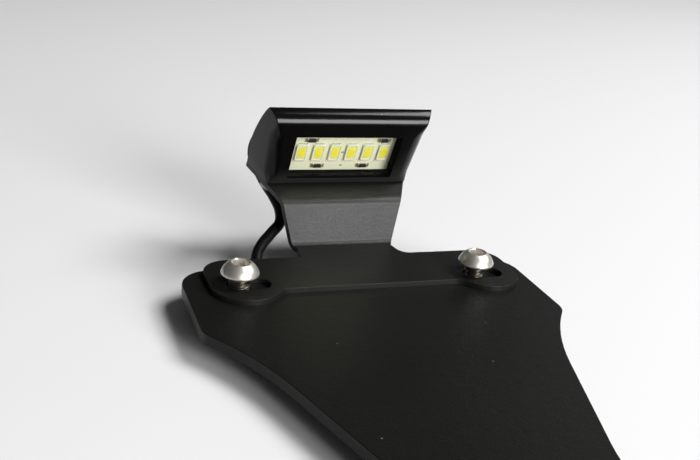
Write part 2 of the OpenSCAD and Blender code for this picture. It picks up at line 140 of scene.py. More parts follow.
class Board:
    """A material's node tree, with one method that adds any node."""

    def __init__(self, tree: bpy.types.NodeTree) -> None:
        """Starts from an empty tree."""
        self.tree = tree
        tree.nodes.clear()

    def add(self, kind: str, settings: dict | None = None, inputs: dict | None = None,
            output: int | str = 0) -> Term:
        """Adds a node and returns a term on one of its outputs.

        Args:
            kind: the node's type.
            settings: properties set first.
            inputs: values or links by socket name or number.
            output: which output the term wraps.
        """
        node = self.tree.nodes.new(kind)
        for key, value in (settings or {}).items():
            setattr(node, key, value)
        for key, value in (inputs or {}).items():
            socket = node.inputs[key]
            if isinstance(value, Term):
                self.tree.links.new(value.socket, socket)
            else:
                socket.default_value = value
        return Term(self, node.outputs[output]) if node.outputs else Term(self, None)

    def place(self) -> Term:
        """Object coordinates."""
        return self.add("ShaderNodeTexCoord", output="Object")

    def axis(self, index: int) -> Term:
        """One axis of the object coordinates, in metres."""
        return self.add("ShaderNodeSeparateXYZ", None, {0: self.place()}, index)

    def noise(self, scale: float, detail: float = 2.0, rough: float = 0.5,
              stretch: Sequence[float] = (1, 1, 1)) -> Term:
        """Noise on the object coordinates, from 0 to 1."""
        at = self.add("ShaderNodeMapping", None, {"Vector": self.place(), "Scale": stretch})
        return self.add("ShaderNodeTexNoise", None,
                        {"Vector": at, "Scale": scale, "Detail": detail, "Roughness": rough})

    def specks(self, scale: float, reach: float, share: float) -> Term:
        """Round specks: one on a speck, else zero.

        Args:
            scale: cells of the pattern to a metre.
            reach: radius of a speck as a share of a cell.
            share: part of the cells that holds a speck.
        """
        settings = {"feature": "F1"}
        inputs = {"Vector": self.place(), "Scale": scale}
        near = self.add("ShaderNodeTexVoronoi", settings, inputs, "Distance")
        colour = self.add("ShaderNodeTexVoronoi", settings, inputs, "Color")
        pick = self.add("ShaderNodeSeparateColor", None, {0: colour}, 0)
        return (near < reach) * (pick < share)

    def blend(self, factor: Term | float, first: object, second: object) -> Term:
        """A mix of two colours."""
        return self.add("ShaderNodeMix", {"data_type": "RGBA"}, {0: factor, 6: first, 7: second}, 2)

    def tint(self, factor: Term, colour: Sequence[float], low: float, high: float) -> Term:
        """A colour that goes from its low multiple at factor zero to its high one, at most white."""
        return self.blend(factor, rgb(*(low * c for c in colour)), rgb(*(min(1, high * c) for c in colour)))

    def bump(self, height: Term, depth: float) -> Term:
        """A bump whose full height is the given depth in metres."""
        return self.add("ShaderNodeBump", None, {"Height": height, "Distance": depth, "Strength": 1.0})

    def close(self, shader: Term) -> None:
        """Links a shader to the material's output."""
        self.add("ShaderNodeOutputMaterial", None, {"Surface": shader})

    def surface(self, tone: Term | tuple, rough: Term | float, normal: Term | None = None,
                **others: float) -> None:
        """Closes the board with one surface shader.

        Args:
            tone: its base colour.
            rough: its roughness.
            normal: a bump, if it has one.
            others: metallic and shine, where they aren't the shader's own.
        """
        inputs = {"Base Color": tone, "Roughness": rough}
        names = {"metallic": "Metallic", "shine": "Specular IOR Level"}
        inputs.update({names[key]: value for key, value in others.items()})
        if normal:
            inputs["Normal"] = normal
        self.close(self.add("ShaderNodeBsdfPrincipled", None, inputs))


def rgb(*parts: float) -> tuple[float, float, float, float]:
    """A colour with full alpha."""
    return (*parts, 1.0)


def new_material(name: str, build: Callable[[Board], None]) -> bpy.types.Material:
    """Makes a material from a function that fills its board."""
    material = bpy.data.materials.new(name)
    material.use_nodes = True
    build(Board(material.node_tree))
    return material


# Finishes


@dataclass(frozen=True)
class PowderCoat:
    """Satin black powder coat: fine grain, a faint orange peel, dust specks and, on the plate, a scuff."""

    colour: tuple[float, float, float] = (0.0075, 0.0075, 0.0070)
    dust: tuple[float, float, float] = (0.30, 0.30, 0.29)
    shine: float = 0.17
    relief: float = 0.00010
    scuff_at: tuple[float, float] = (0.028, -0.026)
    scuff_half: tuple[float, float] = (0.0085, 0.0022)
    scuff_tone: tuple[float, float, float] = (0.006, 0.006, 0.006)
    scuffed: bool = False

    def build(self, board: Board) -> None:
        """Fills a board with the coat."""
        grain = board.noise(2600, 3, 0.6)
        peel = board.noise(420, 2, 0.5)
        patches = board.noise(38, 3, 0.55)
        specks = board.specks(260, 0.055, 0.05)
        tone = board.tint(patches, self.colour, 0.86, 1.18)
        tone = board.blend(specks * 0.8, tone, rgb(*self.dust))
        rough = 0.40 + (grain - 0.5) * 0.20 + (patches - 0.5) * 0.10
        if self.scuffed:
            scuff = self.scuff_mask(board)
            tone = board.blend(scuff * 0.5, tone, rgb(*self.scuff_tone))
            rough = rough + scuff * 0.16
        board.surface(tone, rough, board.bump(grain * 0.6 + peel * 0.4, self.relief), shine=self.shine)

    def scuff_mask(self, board: Board) -> Term:
        """A soft oval smear broken up by stretched noise, one at its middle."""
        across = (board.axis(0) - self.scuff_at[0]) / self.scuff_half[0]
        along = (board.axis(1) - (SCREW_LINE_Y + self.scuff_at[1])) / self.scuff_half[1]
        oval = 1 - (across * across + along * along)
        streaks = board.noise(300, 3, 0.6, (0.3, 1, 1))
        return oval.smooth(0.0, 0.9) * streaks.smooth(0.42, 0.62)


@dataclass(frozen=True)
class LampPlastic:
    """Moulded black plastic with a soft gloss, a few dust specks and a painted sheen that lightens the lip
    under the window.
    """

    colour: tuple[float, float, float] = (0.0022, 0.0023, 0.0022)
    dust: tuple[float, float, float] = (0.32, 0.32, 0.31)
    # painted sheen: the lighter tone that the lip under the window is painted with
    painted_sheen_tone: tuple[float, float, float] = (0.012, 0.012, 0.0118)
    rough: float = 0.15
    shine: float = 0.21
    relief: float = 0.000012

    def build(self, board: Board) -> None:
        """Fills a board with the plastic."""
        haze = board.noise(160, 3, 0.6)
        grain = board.noise(2200, 2, 0.5)
        specks = board.specks(420, 0.06, 0.035)
        tone = board.blend(specks * 0.7, rgb(*self.colour), rgb(*self.dust))
        # painted reflection: the lip under the window is lightened as if it caught the pale floor
        tone = board.blend(self.painted_sheen_mask(board) * (0.6 + haze * 0.8), tone, rgb(*self.painted_sheen_tone))
        rough = self.rough + (haze - 0.5) * 0.08 + specks * 0.3
        board.surface(tone, rough, board.bump(grain, self.relief), shine=self.shine)

    @staticmethod
    def painted_sheen_mask(board: Board) -> Term:
        """One on the low lip under the window, where a painted sheen lightens the plastic, fading to zero
        higher up the face.
        """
        back = board.axis(1) - (SCREW_LINE_Y + PANEL.fold_y)
        up = board.axis(2) - PANEL.fold_z
        height = up * math.cos(PANEL.slope) - back * math.sin(PANEL.slope)
        return 1 - height.smooth(2.0 * MM, 5.0 * MM)


@dataclass(frozen=True)
class ClearPane:
    """Thin clear acrylic: mostly see-through, with a small share of mirror."""

    clear_tone: tuple[float, float, float] = (0.985, 0.99, 0.985)
    gloss_tone: tuple[float, float, float] = (0.9, 0.92, 0.92)
    mirror_share: float = 0.012

    def build(self, board: Board) -> None:
        """Fills a board with a see-through shader that still mirrors a little."""
        haze = board.noise(90, 2, 0.5)
        clear = board.add("ShaderNodeBsdfTransparent", None, {"Color": rgb(*self.clear_tone)})
        gloss = board.add("ShaderNodeBsdfPrincipled", None, {
            "Base Color": rgb(*self.gloss_tone), "Metallic": 1.0, "Roughness": 0.06 + haze * 0.05})
        board.close(board.add("ShaderNodeMixShader", None, {0: self.mirror_share, 1: clear, 2: gloss}))


@dataclass(frozen=True)
class Plain:
    """A finish with an even colour broken up by soft noise in tone and roughness."""

    colour: tuple[float, float, float]
    rough: float = 0.5
    metallic: float = 0.0
    vary: float = 0.12
    scale: float = 900
    bump: float = 0.00001
    shine: float = 0.5

    def build(self, board: Board) -> None:
        """Fills a board with the finish."""
        patches = board.noise(self.scale, 3, 0.6)
        tone = board.tint(patches, self.colour, 1 - self.vary, 1 + self.vary)
        rough = self.rough + (patches - 0.5) * 0.12
        board.surface(tone, rough, board.bump(patches, self.bump), metallic=self.metallic, shine=self.shine)


@dataclass(frozen=True)
class Phosphor:
    """Yellow phosphor under clear resin, palest at its rim."""

    middle: tuple[float, float, float] = (0.95, 0.84, 0.07)
    rim: tuple[float, float, float] = (0.82, 0.80, 0.48)
    fade: tuple[float, float] = (0.5, 1.02)
    relief: float = 0.000006

    def build(self, board: Board) -> None:
        """Fills a board with a tone that follows the mesh's own "reach" from the middle to the rim."""
        reach = board.add("ShaderNodeAttribute", {"attribute_name": "reach"}, None, "Fac")
        grains = board.noise(2600, 2, 0.6)
        edge = (reach + (grains - 0.5) * 0.35).smooth(*self.fade)
        tone = board.blend(edge, rgb(*self.middle), rgb(*self.rim))
        board.surface(tone, 0.30 + (grains - 0.5) * 0.1, board.bump(grains, self.relief))


@dataclass(frozen=True)
class TurnedSteel:
    """Warm stainless steel with a fine grain and worn, duller patches."""

    colour: tuple[float, float, float] = (0.24, 0.227, 0.199)
    rough: float = 0.38
    relief: float = 0.000008

    def build(self, board: Board) -> None:
        """Fills a board with the steel."""
        patches = board.noise(700, 4, 0.6)
        fine = board.noise(5200, 2, 0.5)
        tone = board.tint(patches.smooth(0.3, 0.7), self.colour, 1.0, 0.74)
        rough = self.rough + (patches - 0.5) * 0.22
        board.surface(tone, rough, board.bump(fine, self.relief), metallic=1.0)


@dataclass(frozen=True)
class BoardLacquer:
    """Cream solder lacquer with faint patches."""

    colour: tuple[float, float, float] = (0.86, 0.85, 0.62)
    relief: float = 0.000006

    def build(self, board: Board) -> None:
        """Fills a board with the lacquer."""
        patches = board.noise(300, 3, 0.5)
        tone = board.tint(patches, self.colour, 0.96, 1.04)
        grain = board.bump(board.noise(1800, 2, 0.5), self.relief)
        board.surface(tone, 0.42 + (patches - 0.5) * 0.1, grain)


class Paint(Enum):
    """Every finish of the holder, by the name of its material."""

    PLATE = PowderCoat(scuffed=True)
    BRACKET = PowderCoat(colour=(0.0080, 0.0080, 0.0074), shine=0.35, relief=0.00014)
    LAMP = LampPlastic()
    # painted shade: a darker, duller copy of the lamp plastic for the window's walls, so the recess looks
    # black
    SHADED_WINDOW_WALL = Plain((0.0015, 0.0015, 0.0015), 0.85, vary=0.2, shine=0.03)
    PANE = ClearPane()
    LACQUER = BoardLacquer()
    CHIP_FRAME = Plain((0.80, 0.79, 0.60), 0.4, vary=0.05)
    PHOSPHOR = Phosphor()
    SOLDER = Plain((0.62, 0.62, 0.60), 0.32, 1.0, 0.1)
    GOLD_PAD = Plain((0.52, 0.44, 0.26), 0.45, 0.6, 0.2)
    PRINT = Plain((0.30, 0.31, 0.27), 0.6, vary=0.15)
    RESISTOR = Plain((0.030, 0.028, 0.024), 0.35, vary=0.2)
    STAINLESS = TurnedSteel()
    # painted shade: the shank's steel is darker than the head's, standing for the shade under the head
    THREAD = TurnedSteel((0.15, 0.135, 0.11), 0.34)
    ZINC = TurnedSteel((0.36, 0.36, 0.37), 0.38)
    RUBBER = Plain((0.012, 0.012, 0.012), 0.62, vary=0.15, scale=1400, bump=0.00002)
    SHEATH = Plain((0.005, 0.005, 0.005), 0.42, vary=0.15, scale=700, bump=0.00002, shine=0.12)
    RED_SHEATH = Plain((0.35, 0.012, 0.010), 0.4)
    COPPER = Plain((0.75, 0.36, 0.18), 0.35, 1.0)

    @property
    def material(self) -> bpy.types.Material:
        """The finish's material, made the first time it is asked for."""
        name = self.name.lower()
        return bpy.data.materials.get(name) or new_material(name, self.value.build)


# Mesh makers


def new_object(name: str, data: bpy.types.ID) -> bpy.types.Object:
    """Makes an object and puts it in the scene."""
    made = bpy.data.objects.new(name, data)
    bpy.context.scene.collection.objects.link(made)
    return made


def add_piece(name: str, mesh: bpy.types.Mesh, paint: Paint,
              replaced: Iterable[str] = ()) -> bpy.types.Object:
    """Adds an object at the origin that is painted, rides on the holder and stands for CAD nodes.

    Args:
        name: the piece's name.
        mesh: its mesh, in the frame, in metres.
        paint: its finish.
        replaced: CAD nodes that it stands for.
    """
    piece = new_object(name, mesh)
    mesh.materials.clear()
    mesh.materials.append(paint.material)
    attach(piece, BODY)
    if replaced:
        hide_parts(*replaced)
    log.info("made %s with %d faces", name, len(mesh.polygons))
    return piece


def grid_mesh(name: str, points: np.ndarray, closed: bool = True, capped: bool = True,
              reach: np.ndarray | None = None) -> bpy.types.Mesh:
    """Turns a grid of points into a smooth mesh, each cell of the grid one quad.

    Args:
        name: the mesh's name.
        points: array of rows by columns by 3, in metres.
        closed: whether the last column joins the first.
        capped: whether the two end rows are closed with one face each.
        reach: value for each row, kept on the points as the attribute "reach".
    """
    rows, columns = points.shape[:2]
    across = np.arange(columns if closed else columns - 1)
    following = (across + 1) % columns
    down = np.arange(rows - 1)[:, None] * columns
    below = down + columns
    quads = np.stack([down + across, down + following, below + following, below + across], -1)
    faces = quads.reshape(-1, 4).tolist()
    if closed and capped:
        faces.append(list(range(columns - 1, -1, -1)))
        faces.append([(rows - 1) * columns + i for i in range(columns)])
    mesh = bpy.data.meshes.new(name)
    mesh.from_pydata(points.reshape(-1, 3).tolist(), [], faces)
    mesh.shade_smooth()
    if reach is not None:
        layer = mesh.attributes.new("reach", "FLOAT", "POINT")
        layer.data.foreach_set("value", np.repeat(reach, columns).astype(np.float32))
    mesh.update()
    point_outwards(mesh)
    return mesh


def point_outwards(mesh: bpy.types.Mesh) -> None:
    """Recalculates the normals of a mesh so that they point outwards."""
    work = bmesh.new()
    work.from_mesh(mesh)
    bmesh.ops.remove_doubles(work, verts=work.verts, dist=1e-7)
    bmesh.ops.recalc_face_normals(work, faces=work.faces)
    work.to_mesh(mesh)
    work.free()


def joined(name: str, meshes: Sequence[bpy.types.Mesh]) -> bpy.types.Mesh:
    """One mesh that holds several."""
    work = bmesh.new()
    for mesh in meshes:
        work.from_mesh(mesh)
        bpy.data.meshes.remove(mesh)
    out = bpy.data.meshes.new(name)
    work.to_mesh(out)
    work.free()
    return out


def full_turn(steps: int) -> np.ndarray:
    """Evenly spaced angles once round, in radians, the first at zero."""
    return np.linspace(0, 2 * np.pi, steps, endpoint=False)


def spread(*parts: np.ndarray | float) -> np.ndarray:
    """Points from their three coordinates, each an array or a number, spread to one shape."""
    return np.stack(np.broadcast_arrays(*parts), -1)


def ease(value: np.ndarray) -> np.ndarray:
    """A soft step: three times the square less twice the cube, of the value held between zero and one."""
    held = np.clip(value, 0, 1)
    return held * held * (3 - 2 * held)


def superellipse(steps: int, share: float) -> np.ndarray:
    """A closed outline of half size one: cosine and sine raised to a share, their signs kept."""
    turn = full_turn(steps)
    c, s = np.cos(turn), np.sin(turn)
    return np.stack([np.sign(c) * np.abs(c) ** share, np.sign(s) * np.abs(s) ** share], -1)


def soft_block(half: Sequence[float], edge: float, power: float, steps: int) -> np.ndarray:
    """A block with rounded corners and softly rounded upper and lower edges.

    The outline is a superellipse of the given power, and its offset follows a quarter circle at each edge.

    Args:
        half: half sizes along the first, second and third axis.
        edge: radius of the rounded edges.
        power: how square the outline is.
        steps: points round the outline.

    Returns:
        Grid of rows by steps by 3 about the origin, the rows running along the third axis.
    """
    outline = superellipse(steps, 2 / power)
    bend = np.linspace(0, np.pi / 2, 5)
    inset = np.concatenate([edge * (1 - np.sin(bend)), edge * (1 - np.cos(bend))])
    height = np.concatenate([-half[2] + edge * (1 - np.cos(bend)), half[2] - edge * (1 - np.sin(bend))])
    size = np.array(half[:2])[None, :] - inset[:, None]
    flat = outline[None] * size[:, None, :]
    return np.concatenate([flat, np.broadcast_to(height[:, None, None], (*flat.shape[:2], 1))], -1)


def round_edges(piece: bpy.types.Object, width: float, segments: int, crease: float) -> None:
    """Rounds a piece's edges that are sharper than the crease angle, in degrees."""
    bevel = piece.modifiers.new("edge", "BEVEL")
    bevel.width = width
    bevel.segments = segments
    bevel.limit_method = "ANGLE"
    bevel.angle_limit = math.radians(crease)
    bevel.harden_normals = True


def soft_copy(node: str, paint: Paint, edge: float, segments: int = 3,
              crease: float = 30) -> bpy.types.Object:
    """A copy of a CAD node with its flat faces merged and its edges rounded.

    Args:
        node: the CAD node that the copy replaces.
        paint: the copy's finish.
        edge: width of the rounded edge in metres.
        segments: steps across the rounded edge.
        crease: edges sharper than this angle, in degrees, are rounded.
    """
    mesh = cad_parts[node].data.copy()
    mesh.transform(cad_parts[node].matrix_world)
    work = bmesh.new()
    work.from_mesh(mesh)
    bmesh.ops.remove_doubles(work, verts=work.verts, dist=1e-6)
    bmesh.ops.dissolve_limit(work, angle_limit=math.radians(0.6), verts=work.verts, edges=work.edges)
    bmesh.ops.recalc_face_normals(work, faces=work.faces)
    work.to_mesh(mesh)
    work.free()
    mesh.shade_smooth()
    mesh.set_sharp_from_angle(angle=math.radians(crease))
    piece = add_piece(f"{node}_shell", mesh, paint, [node])
    round_edges(piece, edge, segments, crease)
    return piece


# Cable


def smooth_run(points: np.ndarray, steps: int) -> np.ndarray:
    """A Catmull-Rom curve through points, each stretch cut into equal steps of its parameter."""
    padded = np.vstack([points[:1], points, points[-1:]])
    t = np.linspace(0, 1, steps, endpoint=False)[None, :, None]
    p0, p1, p2, p3 = (padded[i:len(padded) - 3 + i][:, None, :] for i in range(4))
    curve = 0.5 * (2 * p1 + (p2 - p0) * t + (2 * p0 - 5 * p1 + 4 * p2 - p3) * t ** 2
                   + (3 * p1 - p0 - 3 * p2 + p3) * t ** 3)
    return np.vstack([curve.reshape(-1, 3), points[-1:]])


@dataclass(frozen=True)
class LampCable:
    """The lamp's cable: down behind the riser, under the plate and into a flat coil, with two bare leads.

    The two diameters are in metres. The runs and the coil are in millimetres.
    """

    diameter: float = 3.3 * MM
    lead_d: float = 1.5 * MM
    coil_y: float = -163.0
    coil_d: float = 36.0
    pitch: float = 3.4
    turns: int = 3
    tuck_turn: float = 0.22
    floor_gap: float = 0.1
    run: tuple[tuple[float, float, float], ...] = (
        (-14.6, 45.4, 36.1), (-15.9, 48.9, 36.4), (-17.6, 51.6, 34.8), (-19.5, 52, 31.6), (-20.6, 49.4, 28.4),
        (-19.9, 45.6, 25.5), (-18.4, 41.9, 22.3), (-16.4, 38.6, 19.2), (-15, 35.9, 16), (-15.2, 33.8, 12.7),
        (-18, 31.8, 10.4), (-21.2, 29.6, 8), (-23.2, 27.6, 5.4), (-23.8, 24.4, 3), (-23, 19, 1.9),
        (-20.5, 10, 1.75), (-17, -2, 1.75), (-11, -20, 1.75), (-5, -42, 1.75), (-2, -66, 1.75),
        (-1.5, -90, 1.75), (-4.5, -111, 1.75), (-10, -124, 1.75), (-16.2, -134, 1.75), (-21, -143, 1.75))
    red_run: tuple[tuple[float, float, float], ...] = (
        (-10, -1, 1.75), (-9.4, -4.6, 1.4), (-6.6, -7.8, 0.9), (-2, -9.4, 0.9), (3, -8.8, 0.9), (7, -6, 0.9),
        (8.8, -2, 0.9))
    black_run: tuple[tuple[float, float, float], ...] = (
        (-8.4, -0.9, 1.75), (-7.6, -3.8, 1.4), (-5, -6, 0.9), (-1.2, -6.8, 0.9), (2.6, -5.8, 0.9),
        (5, -3, 0.9), (5.2, 0.6, 0.9))

    def in_frame(self, points: np.ndarray, coil: bool = False) -> np.ndarray:
        """Moves points from the screw line, or from the coil's middle, to the frame, and to metres."""
        shift = np.array([0, self.coil_y if coil else 0, 0])
        return (points + shift) * MM + np.array([0, SCREW_LINE_Y, 0])

    def mouth(self) -> np.ndarray:
        """The cable's middle at the grommet's mouth, in the frame."""
        return PANEL.carry((GROMMET_AT + GROMMET_REACH) * MM)

    def coil(self) -> np.ndarray:
        """The flat coil: the radius falls by one pitch a turn and drops faster at the very end."""
        steps = 40 * self.turns
        turn = np.linspace(0, self.turns, steps + 1)
        angle = np.pi + turn * 2 * np.pi
        start = (self.coil_d + self.turns * self.pitch) / 2
        tuck = ease((turn - self.turns + self.tuck_turn) / self.tuck_turn)
        radius = start - self.pitch * turn - self.pitch * tuck
        height = self.diameter / MM / 2 + self.floor_gap
        return spread(radius * np.cos(angle), radius * np.sin(angle), height)

    def centreline(self) -> np.ndarray:
        """The whole cable's centreline in the frame, in metres."""
        route = np.vstack([self.mouth(), self.in_frame(np.array(self.run))])
        coil = self.in_frame(self.coil(), coil=True)
        lead_in = np.vstack([route, coil[0] + np.array([0, 0.009, 0]), coil[0], coil[1]])
        smooth = smooth_run(lead_in, 8)[:-8]
        return np.vstack([smooth, coil[1:]])

    def lead(self, name: str, run: Sequence[Sequence[float]], paint: Paint) -> list[bpy.types.Object]:
        """Makes one lead's insulation and its bared strands.

        Args:
            name: the CAD node it stands for.
            run: its points from the coil's middle, in millimetres.
            paint: finish of its insulation.
        """
        line = smooth_run(self.in_frame(np.array(run), coil=True), 6)
        cut = len(line) - 7
        cover = tube_mesh(name, line[:cut + 1], self.lead_d / 2, 12)
        strands = tube_mesh(name, line[cut - 1:], self.lead_d * 0.3, 10)
        return [add_piece(f"{name}_cover", cover, paint, [name]),
                add_piece(f"{name}_strands", strands, Paint.COPPER)]

    def build(self) -> bpy.types.Object:
        line = self.centreline()
        curve = bpy.data.curves.new("cable_sheath", "CURVE")
        curve.dimensions = "3D"
        curve.bevel_depth = self.diameter / 2
        curve.bevel_resolution = 6
        curve.use_fill_caps = True
        spline = curve.splines.new("POLY")
        spline.points.add(len(line) - 1)
        spline.points.foreach_set("co", np.column_stack([line, np.ones(len(line))]).ravel())
        spline.use_smooth = True
        cable = new_object("cable_sheath", curve)
        curve.materials.append(Paint.SHEATH.material)
        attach(cable, BODY)
        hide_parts("lamp_cable", "cable_coil")
        leads = (self.lead("lead_red", self.red_run, Paint.RED_SHEATH)
                 + self.lead("lead_black", self.black_run, Paint.SHEATH))
        return cable


def tube_mesh(name: str, line: np.ndarray, radius: float, sides: int) -> bpy.types.Mesh:
    """A round tube: each ring lies across the line's direction, turned from a fixed upward hint.

    Args:
        name: the mesh's name.
        line: centreline, in metres.
        radius: the tube's radius.
        sides: points in a ring.
    """
    along = np.gradient(line, axis=0)
    along /= np.linalg.norm(along, axis=1, keepdims=True)
    first = np.cross(along, [0.13, 0.21, 0.97])
    first /= np.linalg.norm(first, axis=1, keepdims=True)
    second = np.cross(along, first)
    turn = full_turn(sides)
    rings = (line[:, None] + radius * (np.cos(turn)[None, :, None] * first[:, None]
                                       + np.sin(turn)[None, :, None] * second[:, None]))
    return grid_mesh(name, rings)


# Holder and lamp


@dataclass(frozen=True)
class SocketScrew:
    """A domed screw with a hexagon socket and a threaded shank."""

    side: Side
    head_r: float = 5.0 * MM
    head_h: float = 3.3 * MM
    rim: float = 0.5 * MM
    flat_r: float = 2.7 * MM
    flats: float = 4.0 * MM
    depth: float = 2.1 * MM
    thread_r: float = 2.95 * MM
    thread_depth: float = 0.5 * MM
    pitch: float = 1.0 * MM
    length: float = 12.0 * MM
    turn: float = 0.3

    def head(self) -> np.ndarray:
        """The head's surface: rim, dome, ring and socket, each row a circle or a hexagon.

        The dome is a cap of a sphere through the rim and the edge of the flat ring. At height z its radius is
        the root of ball^2 - (z - low)^2, with low the height of the ball's middle.
        """
        columns = 96
        angle = full_turn(columns)
        sector = (angle + self.turn) % (np.pi / 3) - np.pi / 6
        hexagon = self.flats / 2 / np.cos(sector)
        circle = np.ones(columns)
        soft = 0.14 * MM
        squares = self.flat_r ** 2 + self.head_h ** 2 - self.head_r ** 2 - self.rim ** 2
        low = squares / (2 * (self.head_h - self.rim))
        ball = math.hypot(self.flat_r, self.head_h - low)
        rows = [(circle * self.thread_r, 0.0), (circle * (self.head_r - 0.35 * MM), 0.0)]
        rows += [(circle * (self.head_r - soft * (1 - math.sin(b))), soft * (1 - math.cos(b)))
                 for b in np.linspace(0, np.pi / 2, 4)]
        rows += [(circle * math.sqrt(ball ** 2 - (z - low) ** 2), z)
                 for z in np.linspace(self.rim, self.head_h - 0.04 * MM, 16)]
        mouth = 2.45 * MM
        rows += [(circle * (mouth + 0.08 * MM), self.head_h), (circle * mouth, self.head_h - 0.03 * MM)]
        rows += [(hexagon + 0.02 * MM, self.head_h - 0.24 * MM), (hexagon, self.head_h - 0.34 * MM)]
        rows += [(hexagon, self.head_h - self.depth + 0.05 * MM), (hexagon * 0.97, self.head_h - self.depth)]
        rows += [(circle * 1.2 * MM, self.head_h - self.depth),
                 (circle * 0.05 * MM, self.head_h - self.depth - 0.5 * MM)]
        radius = np.stack([r for r, _ in rows])
        height = np.array([z for _, z in rows])[:, None]
        return spread(radius * np.cos(angle), radius * np.sin(angle), height)

    def shank(self) -> np.ndarray:
        """The shank: a cylinder whose radius falls along a helical groove."""
        angle = full_turn(48)[None, :]
        z = np.linspace(0.2 * MM, -self.length, 190)[:, None]
        phase = (z / self.pitch - angle / (2 * np.pi)) % 1.0
        groove = self.thread_depth * np.clip(1 - np.abs(phase - 0.5) / 0.42, 0, 1)
        lead_in = np.clip((z + self.length) / (0.8 * MM), 0, 1)
        radius = (self.thread_r - groove) * (0.82 + 0.18 * lead_in)
        return spread(radius * np.cos(angle), radius * np.sin(angle), z)

    def build(self) -> list[bpy.types.Object]:
        """Makes the head and the shank in place of the CAD screw."""
        node = f"plate_screw_{self.side.value}"
        low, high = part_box(node)
        seat = np.array([(low[0] + high[0]) / 2, (low[1] + high[1]) / 2, high[2] - self.head_h])
        head = grid_mesh(f"{node}_head", self.head() + seat)
        head.set_sharp_from_angle(angle=math.radians(38))
        shank = grid_mesh(f"{node}_shank", self.shank() + seat)
        # the shank takes the darker steel, a painted shade under the head
        return [add_piece(f"{node}_head", head, Paint.STAINLESS, [node]),
                add_piece(f"{node}_shank", shank, Paint.THREAD)]


